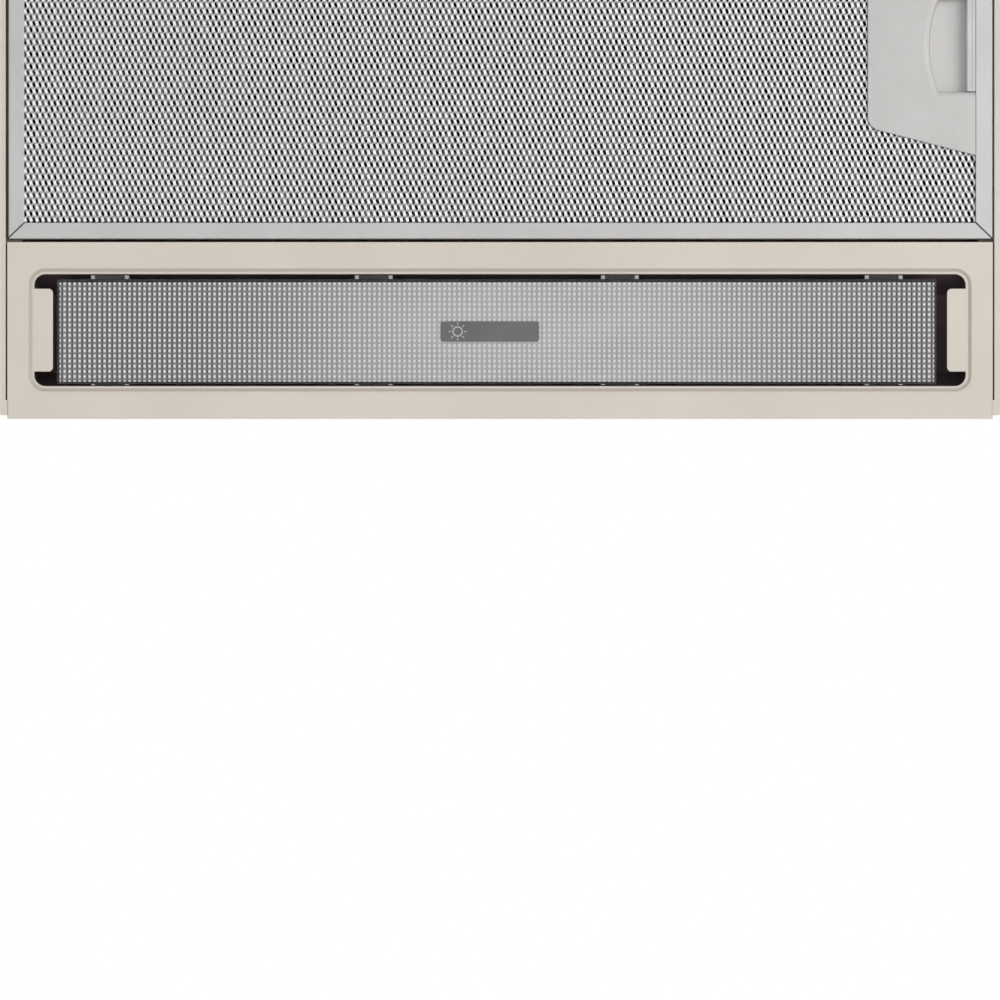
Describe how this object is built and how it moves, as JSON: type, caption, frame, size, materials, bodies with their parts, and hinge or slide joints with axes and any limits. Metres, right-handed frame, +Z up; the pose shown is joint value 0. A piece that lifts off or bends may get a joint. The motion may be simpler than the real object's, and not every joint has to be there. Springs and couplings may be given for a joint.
{
  "type": "under cabinet range hood",
  "caption": "Under cabinet range hood with a sloping front, lit lens, swing-down mesh filter cassettes, slider controls, centrifugal fan and a flapped duct collar.",
  "frame": {"origin": "on the flat top face, at the centre of the four cabinet screw holes", "axes": "+Z up through the top face, -Y towards the front fascia, +X towards the side with the controls"},
  "size_m": [0.5, 0.501, 0.18],
  "materials": {
    "cream_paint": "semi-gloss baked enamel",
    "zinc_steel": "zinc-plated",
    "white_paint": "white reflector paint",
    "lampholder": "glossy moulding",
    "bulb_glass": "frosted",
    "lens_plastic": "clear, with fine prisms",
    "grey_pad": "plain satin",
    "grey_plastic": "satin",
    "dark_plastic": "satin",
    "impeller_plastic": "satin",
    "flap_plastic": "satin",
    "motor_steel": "plain",
    "shaft_steel": "ground",
    "capacitor_case": "satin",
    "terminal_plastic": "glossy",
    "screw_steel": "zinc-plated",
    "filter_frame_aluminium": "satin rolled",
    "filter_mesh_aluminium": "expanded and flattened",
    "handle_aluminium": "satin pressed",
    "latch_plastic": "satin grey",
    "spring_steel": "bright"
  },
  "bodies": {
    "hood": {"side_wall_left": "cream_paint", "side_wall_right": "cream_paint", "top_panel": "cream_paint", "rear_wall": "cream_paint", "front_panel": "cream_paint", "centre_rail": "zinc_steel", "lamp_housing": "white_paint", "lampholder_bracket": "zinc_steel", "lampholder_left": "lampholder", "lampholder_right": "lampholder", "bulb_left": "bulb_glass", "bulb_right": "bulb_glass", "control_bezel": "grey_plastic", "switch_body": "dark_plastic", "scroll_upper": "dark_plastic", "scroll_lower": "dark_plastic", "inlet_ring": "grey_plastic", "motor_bracket": "zinc_steel", "motor": "motor_steel", "capacitor": "capacitor_case", "terminal_box": "dark_plastic", "terminal_block": "terminal_plastic", "terminal_cover": "grey_plastic", "cable_gland": "dark_plastic", "duct_collar": "dark_plastic", "collar_flange": "dark_plastic", "damper_pin": "shaft_steel", "front_filter_catch": "spring_steel", "rear_filter_catch": "spring_steel", "scroll_screws": "screw_steel", "motor_screws": "screw_steel", "collar_screws": "screw_steel"},
    "rotor": {"motor_shaft": "shaft_steel", "impeller": "impeller_plastic"},
    "speed_slider": {"speed_knob": "dark_plastic"},
    "light_slider": {"light_knob": "dark_plastic"},
    "lens": {"lens": "lens_plastic", "lens_pad": "grey_pad"},
    "flap_left": {"flap_left": "flap_plastic"},
    "flap_right": {"flap_right": "flap_plastic"},
    "front_filter": {"front_filter_frame": "filter_frame_aluminium", "front_filter_lower_mesh": "filter_mesh_aluminium", "front_filter_pleats": "filter_mesh_aluminium", "front_filter_upper_mesh": "filter_mesh_aluminium", "front_filter_handle": "handle_aluminium"},
    "front_latch": {"front_filter_latch": "latch_plastic", "front_filter_springs": "spring_steel"},
    "rear_filter": {"rear_filter_frame": "filter_frame_aluminium", "rear_filter_lower_mesh": "filter_mesh_aluminium", "rear_filter_pleats": "filter_mesh_aluminium", "rear_filter_upper_mesh": "filter_mesh_aluminium", "rear_filter_handle": "handle_aluminium"},
    "rear_latch": {"rear_filter_latch": "latch_plastic", "rear_filter_springs": "spring_steel"}
  },
  "joints": [
    {"name": "fan_spin", "type": "hinge", "parent": "hood", "child": "rotor", "pos_m": [-0.11, -0.035, 0], "axis": [0, 0, 1], "continuous": true},
    {"name": "speed_slide", "type": "slide", "parent": "hood", "child": "speed_slider", "axis": [1, 0, 0], "range_m": [0, 0.027]},
    {"name": "light_slide", "type": "slide", "parent": "hood", "child": "light_slider", "axis": [1, 0, 0], "range_m": [0, 0.009]},
    {"name": "lens_drop", "type": "slide", "parent": "hood", "child": "lens", "axis": [0, 0, -1], "range_m": [0, 0.03]},
    {"name": "flap_left_swing", "type": "hinge", "parent": "hood", "child": "flap_left", "pos_m": [0, 0.04, 0.009], "axis": [0, 1, 0], "range_deg": [0, 75]},
    {"name": "flap_right_swing", "type": "hinge", "parent": "hood", "child": "flap_right", "pos_m": [0, 0.04, 0.009], "axis": [0, -1, 0], "range_deg": [0, 75]},
    {"name": "front_filter_swing", "type": "hinge", "parent": "hood", "child": "front_filter", "pos_m": [0.24765, -0.153, -0.1329], "axis": [0, -1, 0], "range_deg": [0, 25], "deforming": ["front_filter_catch"]},
    {"name": "front_latch_slide", "type": "slide", "parent": "front_filter", "child": "front_latch", "axis": [1, 0, 0], "range_m": [0, 0.0025], "stiffness_N_per_m": 400, "springref_m": -0.003, "deforming": ["front_filter_springs"]},
    {"name": "rear_filter_swing", "type": "hinge", "parent": "hood", "child": "rear_filter", "pos_m": [0.24765, 0.0415, -0.1329], "axis": [0, -1, 0], "range_deg": [0, 25], "deforming": ["rear_filter_catch"]},
    {"name": "rear_latch_slide", "type": "slide", "parent": "rear_filter", "child": "rear_latch", "axis": [1, 0, 0], "range_m": [0, 0.0025], "stiffness_N_per_m": 400, "springref_m": -0.003, "deforming": ["rear_filter_springs"]}
  ]
}
